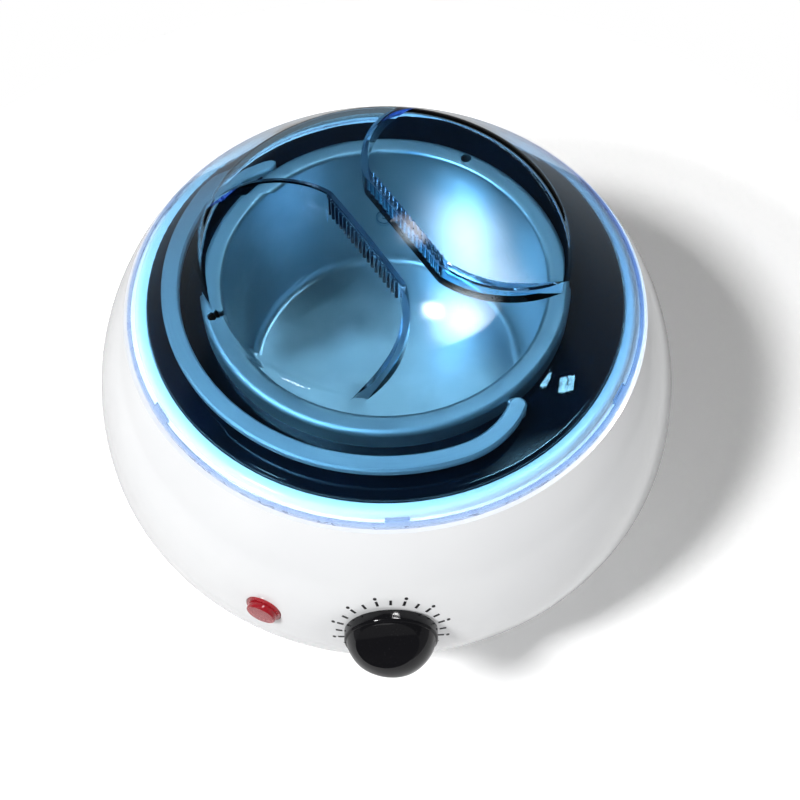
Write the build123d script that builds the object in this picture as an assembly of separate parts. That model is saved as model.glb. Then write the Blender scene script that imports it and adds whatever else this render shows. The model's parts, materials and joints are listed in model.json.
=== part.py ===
from build123d import *
import os
from math import atan2, cos, radians, sin, sqrt, tan

# Wax warmer. Millimetres, Z up, origin on the floor under the middle of the ball, knob at the front (-Y).
# Sizes are worked out from the pot outwards: what goes round a piece is that piece plus a named gap.

# Pot
pot_mouth_radius = 61.0
pot_taper = 5.4
pot_depth = 62.0
pot_wall = 1.2
pot_floor_bend = 4.0
pot_flange_width = 8.2
pot_flange_height = 9.0
pot_flange_bend = 2.4
pot_mouth_bend = 1.6
flange_hole = 4.2
flange_hole_reach = 4.6
round_hole_azimuth = 60.0
keyhole_azimuth = -164.5
keyhole_slot = 2.2
keyhole_reach = 3.6

# Bail: flat half ring with its pivots on the pot's skirt
bail_azimuth = -141.0
bail_spread = 6.8
bail_width = 6.5
bail_thickness = 3.0
bail_end_sweep = 20.0
bail_drop = 1.0
eye_gap = 0.75
eye_half_height = 2.7
pin_radius = 1.25
pin_depth = 4.1
pin_head_radius = 1.6
pin_head_thickness = 0.9
pin_end_gap = 0.2
pivot_clearance = 0.08

# Black deck ring, on which the pot stands
deck_rise = 6.0
deck_width = 20.8
deck_thickness = 3.0
deck_bore_margin = 3.5
deck_edge_round = 1.6
deck_clearance = 0.3
deck_skirt_width = 2.6
boss_length = 6.0
boss_radius = 3.2

# Top of the housing: ledge for the lid, raised lip, shelf for the deck ring
seat_height = 122.0
ledge_thickness = 3.0
ledge_margin = 1.65
lip_height = 3.5
lip_wall = 4.5
lip_round = 2.2
shelf_clearance = 0.6
shelf_width = 4.2

# Lid: crown, rounded shoulder and straight skirt, with two finger recesses that leave a grip bar
lid_height = 46.0
lid_wall = 2.5
lid_crown_radius = 300.0
lid_shoulder_round = 30.0
lid_skirt_slope = 46.0
lid_rim_band = 2.2
bar_azimuth = -58.0
bar_length = 48.4
bar_width = 19.0
recess_floor = 11.0
recess_edge_round = 5.0
recess_inset = 34.7
recess_spread = 50.5
recess_bulge = 6.0
rib_count = 18
rib_radius = 0.85
rib_margin = 1.6
rib_drop = 1.5
lug_count = 6
lug_width = 8.7
lug_height = 3.0
lug_reach = 1.2
lug_clearance = 0.5
lug_azimuth = 31.7
gate_radius = 2.9
gate_depth = 0.4
gate_offset = 3.0

# Housing: a ball, drawn as a circular arc above the equator and an elliptical one below it
housing_belly = 19.0
equator_height = 62.0
lower_arc_width = 68.0
base_height = 8.0
base_overrun = 3.0
shell_wall = 2.6

# Knob and thermostat
knob_rise = 11.7
knob_tilt = 4.0
knob_radius = 17.4
knob_rim_height = 4.4
knob_dome_inset = 0.2
knob_bar_width = 7.0
knob_scoop_radius = 17.0
knob_taper = 9.0
knob_edge_round = 0.7
knob_back_wall = 3.2
knob_back_depth = 3.6
knob_gap = 0.6
knob_hub_radius = 6.0
knob_index_width = 0.8
knob_index_length = 4.0
knob_index_depth = 0.5
seat_flat_depth = 1.2
shaft_radius = 3.0
shaft_reach = 11.0
shaft_flat = 1.2
shaft_clearance = 0.05
clip_wall = 0.6
clip_length = 7.0
thermostat_size = 30.0
thermostat_pad = 4.3
thermostat_pad_margin = 3.0
thermostat_collar = 4.5
thermostat_screw_spacing = 20.0
thermostat_screw_bite = 6.0
thermostat_gap = 1.3

# Dial marks: printed ticks, with a dot on every second one
mark_steps = 9
mark_angle = 15.0
mark_band = 40.0
mark_reach = 8.0
tick_gap = 0.7
tick_length = 2.4
tick_width = 0.9
dot_gap = 1.5
dot_radius = 0.65
ink_thickness = 0.15

# Indicator lamp
lamp_azimuth = -23.9
lamp_rise = 12.4
lamp_tilt = 1.0
lamp_seat_depth = 0.9
lamp_seat_margin = 0.3
lamp_bezel_radius = 6.9
lamp_bezel_height = 1.2
lamp_face_radius = 5.9
lamp_face_round = 0.6
lamp_proud = 3.6
lamp_stem_radius = 4.9
lamp_stem_length = 8.0
lamp_pad_depth = 4.5
lamp_pad_radius = 10.0
lamp_nut_radius = 8.0
lamp_nut_height = 2.5
lamp_body_length = 14.0
lamp_tab_length = 5.0
lamp_tab_offset = 2.5

# Heating: well, band heater, clamp, wrap, shield
well_gap = 1.0
well_wall = 1.2
well_floor_gap = 0.8
well_screw_margin = 6.5
well_screw_azimuth = 30.0
well_flange_margin = 4.0
well_flange_bend = 1.5
fit_clearance = 0.04
band_thickness = 3.0
band_height = 30.0
band_above_floor = 8.0
band_gap = 12.0
terminal_radius = 1.5
terminal_length = 3.5
terminal_turn = 14.0
terminal_rise = 4.0
ear_length = 9.0
ear_thickness = 1.2
ear_height = 12.0
clamp_thickness = 0.8
wrap_thickness = 5.0
wrap_gap = 44.0
shield_gap = 3.5
shield_wall = 0.8
shield_overhang = 5.8
shield_bend = 1.6

# Sensor, fuse, their clips and the earth eyelet, on studs under the well
stud_length = 5.5
bulb_radius = 2.4
bulb_length = 40.0
bulb_y = -26.0
capillary_diameter = 1.4
fuse_radius = 2.2
fuse_length = 14.0
fuse_y = 24.0
fuse_lead_radius = 0.5
fuse_tail = 8.0
clip_thickness = 0.8
clip_width = 8.0
clip_reach = 9.5
nut_radius = 3.2
nut_height = 2.4
earth_stud_x = 34.0
eyelet_radius = 4.0
eyelet_thickness = 1.0
eyelet_tail = 10.0

# Rear mains inlet
inlet_width = 31.0
inlet_tall = 22.5
inlet_flange = 2.2
inlet_corner = 2.0
inlet_recess = 2.4
inlet_pad = 3.6
inlet_pad_margin = 2.0
inlet_body_depth = 18.0
inlet_rim = 2.0
socket_wall = 1.5
socket_depth = 15.0
socket_corner = 3.5
inlet_pin_width = 2.0
inlet_pin_height = 4.0
inlet_pin_length = 10.5
inlet_pin_spacing = 7.0
inlet_pin_offset = 2.0
inlet_tab_length = 6.0
snap_width = 8.0
snap_length = 5.0
snap_height = 1.2

# Base, feet and fasteners
base_pan_margin = 1.8
base_pan_thickness = 2.5
base_spigot_height = 3.5
base_spigot_wall = 2.0
base_post_radius = 4.5
base_post_height = 12.0
base_screw_inset = 6.8
base_screw_bite = 8.0
base_opening_inset = 5.0
foot_radius = 8.0
foot_round = 1.2
foot_inset = 11.0
foot_stem_radius = 3.0
foot_barb = 1.2
foot_barb_height = 2.0
vent_count = 16
vent_inner = 18.0
vent_length = 15.0
vent_width = 3.0
screw_radius = 1.5
screw_head_radius = 3.0
screw_head_height = 1.8
screw_clearance = 0.05
screw_hole_clearance = 0.3
screw_slot = 0.7
small_slack = 0.3

# Terminal block and leads
block_length = 44.0
block_width = 18.0
block_height = 14.0
block_y = 26.0
block_pitch = 10.0
block_first_level = 4.0
block_level_step = 5.5
block_screw_spacing = 20.0
block_clamp_offset = 4.5
block_clamp_depth = 3.0
entry_depth = 5.0
entry_run = 10.0
clamp_head_radius = 1.8
clamp_head_height = 2.0
lead_diameter = 2.2
lead_bend = 4.0
lead_exit = 9.0
lead_drop = 28.0
lead_spread = 16.0
lamp_lead_diameter = 1.4
tab_offset = 8.0
tab_width = 6.0
tab_length = 6.0
tab_thickness = 0.8

# Radii that follow from the sizes above, from the pot outwards
pot_floor_radius = pot_mouth_radius - pot_taper
pot_flange_radius = pot_mouth_radius + pot_flange_width
flange_hole_circle = pot_mouth_radius + flange_hole_reach
bail_end_radius = pot_flange_radius + eye_gap + bail_width / 2
bail_radius = bail_end_radius + bail_spread
deck_bore = pot_mouth_radius + deck_bore_margin
deck_radius = pot_flange_radius + deck_width
opening_radius = deck_radius + deck_clearance
lip_radius = opening_radius + lip_wall
lid_radius = lip_radius + lug_clearance + lug_reach + lid_wall
recess_radius = lid_radius - recess_inset
seat_radius = lid_radius + ledge_margin
housing_radius = lid_radius + housing_belly
well_screw_circle = deck_bore + well_screw_margin
well_flange_radius = well_screw_circle + well_flange_margin
clamp_radius = pot_mouth_radius + well_gap + 2 * well_wall + band_thickness + clamp_thickness
clamp_screw_y = clamp_radius + ear_length / 3
shield_radius = clamp_screw_y + ear_length / 2 + shield_gap
shelf_inner_radius = shield_radius + shelf_clearance
deck_screw_circle = shelf_inner_radius + shelf_width
thermostat_depth = (
    housing_radius - shield_radius - seat_flat_depth - thermostat_pad - tab_length - thermostat_gap
)
knob_dome_radius = knob_radius - knob_dome_inset
tick_inner = knob_radius + tick_gap
dot_circle = tick_inner + tick_length + dot_gap

# Heights that follow
lip_top = seat_height + lip_height
deck_top = seat_height + deck_rise
deck_underside = deck_top - deck_thickness
flange_top = deck_top + pot_flange_height
lid_top = seat_height + lid_height
recess_height = lid_top - recess_floor
pin_height = flange_top - pin_depth
bail_top = flange_top - bail_drop
pot_floor = flange_top - pot_depth
pot_slope = atan2(pot_taper, pot_depth)
well_flange_top = deck_underside - boss_length
well_floor = pot_floor - pot_wall - well_floor_gap
well_underside = well_floor - well_wall
band_bottom = well_underside + band_above_floor
terminal_height = band_bottom + terminal_rise
clamp_bottom = band_bottom + 0.5 * band_height
shield_bottom = well_underside - shield_overhang
base_underside = base_height - base_pan_thickness

# Ball: the upper arc runs from the equator to the edge of the lid's seat
upper_arc_rise = seat_height - equator_height
upper_arc_inset = housing_radius - seat_radius
upper_arc_radius = (upper_arc_inset**2 + upper_arc_rise**2) / (2 * upper_arc_inset)
upper_arc_centre = housing_radius - upper_arc_radius
lower_arc_centre = housing_radius - lower_arc_width
lower_arc_depth = equator_height - base_height + base_overrun
base_edge_radius = lower_arc_centre + lower_arc_width * sqrt(
    1 - ((lower_arc_depth - base_overrun) / lower_arc_depth) ** 2
)
base_pan_radius = base_edge_radius - base_pan_margin
base_screw_circle = base_edge_radius - base_screw_inset
base_opening = base_screw_circle - base_opening_inset
foot_circle = base_opening - foot_inset

# Places of the small parts
inlet_tab_end = -inlet_recess - inlet_body_depth - inlet_tab_length
block_ways = [(i - 1.5) * block_pitch for i in range(4)]
block_levels = [base_height + block_first_level + i * block_level_step for i in range(2)]
block_screw_places = [-block_screw_spacing / 2, block_screw_spacing / 2]
block_clamp_floor = base_height + block_height - block_clamp_depth
stud_places = [(0, bulb_y + clip_reach), (0, fuse_y - clip_reach), (earth_stud_x, 0)]
inlet_pin_places = [
    (-inlet_pin_spacing, -inlet_pin_offset),
    (inlet_pin_spacing, -inlet_pin_offset),
    (0, inlet_pin_offset),
]


def surface_plane(azimuth, rise, tilt, inset=0.0):
    """Plane on the ball at a rise above its equator, tilted up; azimuth is turned from the front."""
    turn = radians(azimuth)
    lift = radians(tilt)
    radius = upper_arc_centre + sqrt(upper_arc_radius**2 - rise**2)
    outward = Vector(cos(lift) * sin(turn), -cos(lift) * cos(turn), sin(lift))
    surface = Vector(radius * sin(turn), -radius * cos(turn), equator_height + rise)
    return Plane(origin=surface - outward * inset, x_dir=(cos(turn), sin(turn), 0), z_dir=outward)


def turned(edges):
    """Solid of revolution about Z from a closed outline drawn in the XZ plane."""
    return revolve(Plane.XZ * make_face(edges), Axis.Z)


def turned_points(points):
    """Solid of revolution about Z from a closed polygon of (radius, height) points."""
    return turned(Polyline(*points, close=True))


def disc(radius, low, high):
    """Upright cylinder on the axis between two heights."""
    return Pos(0, 0, low) * extrude(Circle(radius), high - low)


def ring(inner, outer, low, high):
    """Upright tube on the axis between two heights."""
    return Pos(0, 0, low) * extrude(Circle(outer) - Circle(inner), high - low)


def block(x_size, y_size, z_size):
    """Box standing on the XY plane, centred on its origin."""
    return Box(x_size, y_size, z_size, align=(Align.CENTER, Align.CENTER, Align.MIN))


def around(count, radius, shape, start=0.0):
    """Copies of a shape set evenly on a circle about Z, each turned to face outwards."""
    return [Rot(0, 0, start + 360.0 * i / count) * Pos(radius, 0, 0) * shape for i in range(count)]


def pressed_sheet(points, bend, thickness):
    """Turned sheet-metal form whose right-hand face follows the points, with rounded bends."""
    path = FilletPolyline(*points, radius=bend)
    section = offset(path, amount=thickness, side=Side.RIGHT, closed=True)
    return revolve(Plane.XZ * make_face(section.edges()), Axis.Z)


def screw(length, radius=screw_radius):
    """Pan-head screw: shank up from the XY plane, head below it, with a straight driver slot."""
    head = Pos(0, 0, -screw_head_height) * extrude(Circle(screw_head_radius), screw_head_height)
    edge = head.edges().group_by(Axis.Z)[0]
    head = fillet(edge, screw_head_height / 3)
    slot = Pos(0, 0, -screw_head_height) * block(2 * screw_head_radius, screw_slot, screw_slot)
    return head + extrude(Circle(radius), length) - slot


def ball(inset, low, high):
    """The housing's ball form set in by `inset`, cut flat at two heights."""
    lower = EllipticalCenterArc(
        (lower_arc_centre, equator_height),
        lower_arc_width - inset,
        lower_arc_depth - inset,
        start_angle=-90,
        arc_size=90,
    )
    upper = CenterArc((upper_arc_centre, equator_height), upper_arc_radius - inset, 0, 70)
    bottom = (0, equator_height - lower_arc_depth + inset)
    top = (0, (upper @ 1).Y)
    outline = [Line(bottom, lower @ 0), lower, upper, Line(upper @ 1, top), Line(top, bottom)]
    return turned(outline) & disc(2 * housing_radius, low, high)


# Planes of the knob, the lamp and the inlet
knob_plane = surface_plane(0, knob_rise, knob_tilt)
knob_seat = surface_plane(0, knob_rise, knob_tilt, seat_flat_depth)
lamp_plane = surface_plane(lamp_azimuth, lamp_rise, lamp_tilt, lamp_seat_depth)
inlet_plane = Plane(origin=(0, housing_radius, equator_height), x_dir=(-1, 0, 0), z_dir=(0, 1, 0))


def polar(radius, azimuth, height=0.0):
    """Location at a radius and azimuth about Z."""
    return Rot(0, 0, azimuth) * Pos(radius, 0, height)


# Housing


def make_housing():
    roof = seat_height - ledge_thickness
    outside = ball(0, base_height, seat_height)
    form = outside + disc(lip_radius, roof, lip_top)
    rim = form.edges().filter_by(GeomType.CIRCLE).sort_by(Axis.Z)[-1]
    form = fillet(rim, lip_round)
    shell = form - ball(shell_wall, base_height - 1, roof)
    shell -= disc(base_opening, base_height - 1, base_height + 2 * shell_wall)
    shell -= disc(shelf_inner_radius, roof - 1, deck_top + 1)
    shell -= disc(opening_radius, seat_height, deck_top + 1)
    # Thick places behind the knob, the lamp and the inlet, cut off at the ball's own surface
    beyond = housing_belly / 2
    pad_width = thermostat_size + 2 * thermostat_pad_margin
    knob_pad = knob_plane * Pos(0, 0, -seat_flat_depth - thermostat_pad) * block(
        pad_width, pad_width, thermostat_pad + beyond
    )
    lamp_pad = lamp_plane * Pos(0, 0, -lamp_pad_depth) * extrude(
        Circle(lamp_pad_radius), lamp_pad_depth + beyond
    )
    inlet_pad_block = inlet_plane * Pos(0, 0, -inlet_recess - inlet_pad) * block(
        inlet_width + 2 * inlet_pad_margin, inlet_tall + 2 * inlet_pad_margin, inlet_pad + beyond
    )
    for pad in (knob_pad, lamp_pad, inlet_pad_block):
        shell += pad & outside
    # Posts for the base screws grow from the curled-in bottom of the shell
    for post in around(4, base_screw_circle, extrude(Circle(base_post_radius), base_post_height), 45):
        shell += Pos(0, 0, base_height) * post & outside
    # Flats under the knob and the lamp, holes for the shaft's collar, its screws and the lamp's stem
    shell -= knob_seat * extrude(Circle(knob_radius), beyond)
    shell -= lamp_plane * extrude(Circle(lamp_bezel_radius + lamp_seat_margin), beyond)
    through = shell_wall + thermostat_pad + lamp_pad_depth
    collar_hole = extrude(Circle(thermostat_collar + screw_hole_clearance), 2 * through)
    shell -= knob_seat * Pos(0, 0, -through) * collar_hole
    screw_hole = extrude(Circle(screw_radius + screw_hole_clearance), 2 * through)
    for side in (-1, 1):
        shell -= knob_seat * Pos(side * thermostat_screw_spacing / 2, 0, -through) * screw_hole
    stem_hole = extrude(Circle(lamp_stem_radius + screw_hole_clearance), 2 * through)
    shell -= lamp_plane * Pos(0, 0, -through) * stem_hole
    # Recess and window of the inlet
    wide = inlet_width + 2 * small_slack
    tall = inlet_tall + 2 * small_slack
    shell -= inlet_plane * Pos(0, 0, -inlet_recess) * block(wide, tall, 2 * inlet_recess)
    shell -= inlet_plane * Pos(0, 0, -2 * through) * block(
        wide - 2 * inlet_rim, tall - 2 * inlet_rim, 2 * through
    )
    for cut in around(4, deck_screw_circle, screw_hole, 45):
        shell -= Pos(0, 0, roof - 1) * cut
    post_hole = extrude(Circle(screw_radius + screw_clearance), base_post_height - 2)
    for hole in around(4, base_screw_circle, post_hole, 45):
        shell -= Pos(0, 0, base_height) * hole
    return shell


def make_dial_marks():
    """Ticks and dots as thin pads of ink that follow the ball's surface."""
    low = equator_height - mark_band
    high = equator_height + mark_band
    layer = ball(-ink_thickness, low, high) - ball(0, low - 1, high + 1)
    marks = []
    for step in range(-mark_steps, mark_steps + 1):
        turn = Rot(0, 0, 90 + step * mark_angle)
        bar = block(tick_length, tick_width, 2 * mark_reach)
        tick = turn * Pos(tick_inner + tick_length / 2, 0, -mark_reach) * bar
        marks.append((knob_plane * tick) & layer)
        if step % 2:
            dot = turn * Pos(dot_circle, 0, -mark_reach) * extrude(Circle(dot_radius), 2 * mark_reach)
            marks.append((knob_plane * dot) & layer)
    return Compound(children=[solid for mark in marks for solid in mark.solids()])


# Deck ring


def make_deck():
    deck = ring(deck_bore, deck_radius, deck_underside, deck_top)
    edge = deck.edges().filter_by(GeomType.CIRCLE).group_by(Axis.Z)[-1].sort_by(SortBy.RADIUS)
    deck = fillet(edge[-1], deck_edge_round)
    deck += ring(deck_radius - deck_skirt_width, deck_radius, seat_height, deck_underside)
    for count, circle, start, low in (
        (4, deck_screw_circle, 45, seat_height),
        (3, well_screw_circle, well_screw_azimuth, well_flange_top),
    ):
        boss = extrude(Circle(boss_radius), deck_underside - low)
        hole = extrude(Circle(screw_radius + screw_clearance), deck_underside - low + 1)
        for place in around(count, circle, boss, start):
            deck += Pos(0, 0, low) * place
        for place in around(count, circle, hole, start):
            deck -= Pos(0, 0, low) * place
    return deck


def make_deck_screws():
    roof = seat_height - ledge_thickness
    screws = around(4, deck_screw_circle, screw(deck_underside - roof), 45)
    return Pos(0, 0, roof) * Compound(children=screws)


# Pot, bail and pins


def bail_frame(height=0.0):
    """Bail's own directions: X along the pivot axis, Y towards the middle of the half ring."""
    return Pos(0, 0, height) * Rot(0, 0, bail_azimuth - 90)


def make_pot():
    points = [
        (0, pot_floor),
        (pot_floor_radius, pot_floor),
        (pot_mouth_radius, flange_top),
        (pot_flange_radius, flange_top),
        (pot_flange_radius, deck_top),
    ]
    bends = [pot_floor_bend, pot_mouth_bend, pot_flange_bend]
    pot = pressed_sheet(points, bends, pot_wall)
    low = flange_top - pot_flange_height / 2
    drill = extrude(Circle(flange_hole / 2), pot_flange_height)
    pot -= polar(flange_hole_circle, round_hole_azimuth, low) * drill
    slot = Pos(-keyhole_reach / 2, 0, 0) * block(keyhole_reach, keyhole_slot, pot_flange_height)
    pot -= polar(flange_hole_circle, keyhole_azimuth, low) * (drill + slot)
    for side in (-1, 1):
        start = pot_flange_radius - 3 * pot_wall
        bore = extrude(Circle(pin_radius + screw_clearance), 5 * pot_wall)
        pot -= bail_frame(pin_height) * Rot(0, side * 90, 0) * Pos(0, 0, start) * bore
    return pot


def make_bail():
    sweep_end = radians(bail_end_sweep)
    turn_in = (bail_radius * cos(sweep_end), bail_radius * sin(sweep_end))
    middle = CenterArc((0, 0), bail_radius, bail_end_sweep, 180 - 2 * bail_end_sweep)
    right = TangentArc(turn_in, (bail_end_radius, 0), tangent=(sin(sweep_end), -cos(sweep_end)))
    left = TangentArc(
        (-turn_in[0], turn_in[1]), (-bail_end_radius, 0), tangent=(-sin(sweep_end), -cos(sweep_end))
    )
    path = Wire([left, middle, right])
    strip = make_face(offset(path, amount=bail_width / 2, side=Side.BOTH, closed=True).edges())
    bail = Pos(0, 0, bail_top - bail_thickness) * extrude(strip, bail_thickness)
    bail = chamfer(bail.edges().group_by(Axis.Z)[-1], bail_thickness / 4)
    eye_low = pin_height - eye_half_height
    for side in (-1, 1):
        eye = extrude(Circle(bail_width / 2), bail_top - bail_thickness / 2 - eye_low)
        bail += Pos(side * bail_end_radius, 0, eye_low) * eye
        bore = Rot(0, side * 90, 0) * Pos(0, 0, bail_end_radius - bail_width / 2 - 1) * extrude(
            Circle(pin_radius + pivot_clearance), bail_width + 2
        )
        bail -= Pos(0, 0, pin_height) * bore
    return bail_frame() * bail


def make_bail_pins():
    """Rivets: a head inside the skirt, and a shank out through the skirt and the eye."""
    # The flat head meets the curved skirt at its two sides, so it stands in by the curve's depth there
    skirt_inside = sqrt((pot_flange_radius - pot_wall) ** 2 - pin_head_radius**2) - screw_clearance
    start = skirt_inside - pin_head_thickness
    pin = extrude(Circle(pin_radius), bail_end_radius + bail_width / 2 - pin_end_gap - start)
    pin += extrude(Circle(pin_head_radius), pin_head_thickness)
    pins = [Rot(0, side * 90, 0) * Pos(0, 0, start) * pin for side in (-1, 1)]
    return bail_frame(pin_height) * Compound(children=pins)


# Lid


def dome(inset, top=None):
    """Lid's outer form set in by `inset` on every side but the open bottom; `top` cuts it flat at that height."""
    slope = radians(lid_skirt_slope)
    band_top = seat_height + lid_rim_band
    over = lid_top + lid_wall
    reach = (over - band_top) / tan(slope)
    low = seat_height - 3 * lid_wall
    side = [(lid_radius, low), (lid_radius, band_top), (lid_radius - reach, over)]
    profile = make_face(Polyline(*side, *[(-x, y) for x, y in reversed(side)], close=True))
    profile &= Pos(0, lid_top - lid_crown_radius) * Circle(lid_crown_radius)
    corners = profile.vertices().sort_by(Axis.Y)[-2:]
    profile = fillet(corners, lid_shoulder_round)
    if top:
        profile &= Pos(0, low) * Rectangle(2 * lid_radius, top - low, align=(Align.CENTER, Align.MIN))
        profile = fillet(profile.vertices().group_by(Axis.Y)[-1], recess_edge_round)
    if inset:
        profile = offset(profile, amount=-inset)
    window = Pos(0, seat_height) * Rectangle(lid_radius + 1, lid_top, align=(Align.MIN, Align.MIN))
    return revolve(Plane.XZ * (profile & window), Axis.Z)


def recess_outline(growth):
    """Plan of one finger recess, on the -Y side of the bar, grown outwards by `growth`."""
    half = bar_length / 2
    edge = -bar_width / 2
    spread = radians(recess_spread)
    end = (recess_radius * sin(spread), -recess_radius * cos(spread))
    chord = (end[0] - half, end[1] - edge)
    length = (chord[0] ** 2 + chord[1] ** 2) ** 0.5
    middle = (
        half + chord[0] / 2 - recess_bulge * chord[1] / length,
        edge + chord[1] / 2 + recess_bulge * chord[0] / length,
    )
    flare = ThreePointArc((half, edge), middle, end)
    out = flare @ 1 + (flare % 1) * lid_radius / 2
    outline = make_face(
        [
            Line((-half, edge), (half, edge)),
            flare,
            Polyline(end, out, (-out.X, out.Y), (-end[0], end[1])),
            ThreePointArc((-end[0], end[1]), (-middle[0], middle[1]), (-half, edge)),
        ]
    )
    return offset(outline, amount=growth) if growth else outline


def recessed_dome(inset):
    """Dome with both finger recesses, whose flat floors run out through its sides over a rounded edge."""
    low = recess_height - 2 * lid_wall
    prism = Pos(0, 0, low) * extrude(recess_outline(inset), recess_floor + 4 * lid_wall)
    recesses = Rot(0, 0, bar_azimuth) * (prism + Rot(0, 0, 180) * prism)
    return dome(inset) - (recesses - dome(inset, recess_height))


def make_lid():
    lid = recessed_dome(0) - recessed_dome(lid_wall)
    # Upright ribs on both walls of the grip bar
    span = bar_length - 2 * rib_margin
    rib = extrude(Circle(rib_radius), recess_floor - rib_drop)
    ribs = []
    for i in range(rib_count):
        along = -span / 2 + span * i / (rib_count - 1)
        ribs += [Pos(along, side * bar_width / 2, recess_height) * rib for side in (-1, 1)]
    lid += [Rot(0, 0, bar_azimuth) * one for one in ribs]
    # Lugs inside the rim centre the lid on the housing's lip
    root = lid_radius - lid_wall / 2
    reach = lug_reach + lid_wall / 2
    lug = Pos(-reach / 2, 0, seat_height) * block(reach, lug_width, lug_height)
    lid += around(lug_count, root, lug, lug_azimuth)
    # Ring left by the moulding gate, near the middle of the crown
    gate = ring(gate_radius / 4, gate_radius, lid_top - gate_depth, lid_top + 1)
    return lid - Pos(0, gate_offset, 0) * gate


# Knob and thermostat


def make_knob():
    """Rimmed disc with a domed grip, scooped on both sides and tapered towards its pointer at -X."""
    back = -seat_flat_depth + knob_gap
    rim = extrude(Circle(knob_radius), knob_rim_height)
    rim = fillet(rim.edges().group_by(Axis.Z)[-1], knob_rim_height / 4)
    body = Sphere(knob_dome_radius) & disc(knob_radius, 0, knob_dome_radius + 1)
    scoop_place = knob_bar_width / 2 + knob_scoop_radius
    scoop_height = knob_rim_height + knob_scoop_radius
    scoop = Rot(0, 90, 0) * Cylinder(knob_scoop_radius, 4 * knob_radius)
    for side in (-1, 1):
        body -= Rot(0, 0, side * knob_taper) * Pos(0, side * scoop_place, scoop_height) * scoop
    crest = body.edges().filter_by(lambda edge: edge.center().Z > knob_rim_height + knob_edge_round)
    body = fillet(crest, knob_edge_round)
    knob = rim + body
    knob -= extrude(Circle(knob_radius - knob_back_wall), knob_back_depth)
    knob += extrude(Circle(knob_hub_radius), knob_back_depth)
    knob -= extrude(Circle(shaft_radius + clip_wall + shaft_clearance), shaft_reach)
    index = Pos(-knob_radius + knob_index_length / 2, 0, knob_rim_height - knob_index_depth) * block(
        knob_index_length, knob_index_width, knob_rim_height
    )
    return knob_plane * Pos(0, 0, back) * (knob - index)


def shaft_section():
    """Shaft's round section with its flat."""
    cut = Pos(0, shaft_radius - shaft_flat / 2 + shaft_radius) * Rectangle(4 * shaft_radius, 2 * shaft_radius)
    return Circle(shaft_radius) - cut


def make_shaft():
    low = -seat_flat_depth - thermostat_pad - thermostat_depth / 2
    top = -seat_flat_depth + knob_gap + shaft_reach - small_slack
    collar_top = -seat_flat_depth + screw_clearance
    lower = Pos(0, 0, low) * extrude(Circle(shaft_radius), collar_top - low)
    upper = Pos(0, 0, collar_top) * extrude(shaft_section(), top - collar_top)
    return knob_plane * (lower + upper)


def make_knob_clip():
    """Split spring sleeve between the shaft and the knob's bore."""
    low = -seat_flat_depth + knob_gap + shaft_reach - small_slack - clip_length
    sleeve = extrude(Circle(shaft_radius + clip_wall) - Circle(shaft_radius + 0.02), clip_length)
    sleeve -= Pos(0, shaft_radius, -1) * block(2, 2 * shaft_radius, clip_length + 2)
    return knob_plane * Pos(0, 0, low) * sleeve


def make_thermostat():
    front = -seat_flat_depth - thermostat_pad
    body = Pos(0, 0, front - thermostat_depth) * block(thermostat_size, thermostat_size, thermostat_depth)
    body = fillet(body.edges().filter_by(Axis.Z), 2)
    body += Pos(0, 0, front) * extrude(Circle(thermostat_collar), thermostat_pad)
    body -= Pos(0, 0, front - thermostat_depth / 2 - small_slack) * extrude(
        Circle(shaft_radius + shaft_clearance), thermostat_depth + thermostat_pad
    )
    hole = extrude(Circle(screw_radius + screw_clearance), 2 * thermostat_screw_bite)
    tab = block(tab_width, tab_thickness, tab_length)
    for side in (-1, 1):
        body -= Pos(side * thermostat_screw_spacing / 2, 0, front - thermostat_screw_bite - 1) * hole
        body += Pos(side * tab_offset, -tab_offset, front - thermostat_depth - tab_length) * tab
    return knob_plane * body


def make_thermostat_screws():
    screws = []
    for side in (-1, 1):
        place = Pos(side * thermostat_screw_spacing / 2, 0, -seat_flat_depth)
        screws.append(place * Rot(180, 0, 0) * screw(thermostat_pad + thermostat_screw_bite))
    return knob_plane * Compound(children=screws)


# Lamp


def make_lamp_lens():
    lens = extrude(Circle(lamp_bezel_radius), lamp_bezel_height)
    lens += extrude(Circle(lamp_face_radius), lamp_proud)
    lens = fillet(lens.edges().group_by(Axis.Z)[-1], lamp_face_round)
    lens += Pos(0, 0, -lamp_stem_length) * extrude(Circle(lamp_stem_radius), lamp_stem_length)
    return lamp_plane * lens


def make_lamp_nut():
    hexagon = RegularPolygon(lamp_nut_radius, 6) - Circle(lamp_stem_radius + screw_clearance)
    nut = extrude(hexagon, lamp_nut_height)
    return lamp_plane * Pos(0, 0, -lamp_pad_depth - lamp_nut_height) * nut


def make_lamp_body():
    low = -lamp_stem_length - lamp_body_length
    body = Pos(0, 0, low) * extrude(Circle(lamp_stem_radius), lamp_body_length)
    tab = block(lamp_tab_offset + small_slack, tab_thickness, lamp_tab_length)
    for side in (-1, 1):
        body += Pos(side * lamp_tab_offset, 0, low - lamp_tab_length) * tab
    return lamp_plane * body


# Heating


def well_outer(height):
    """Outside radius of the well's tapered wall at a height."""
    return well_inner(height) + well_wall / cos(pot_slope)


def well_inner(height):
    """Inside radius of the well, which follows the pot's taper."""
    return pot_floor_radius + pot_wall / cos(pot_slope) + (height - pot_floor) * tan(pot_slope) + well_gap


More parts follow.
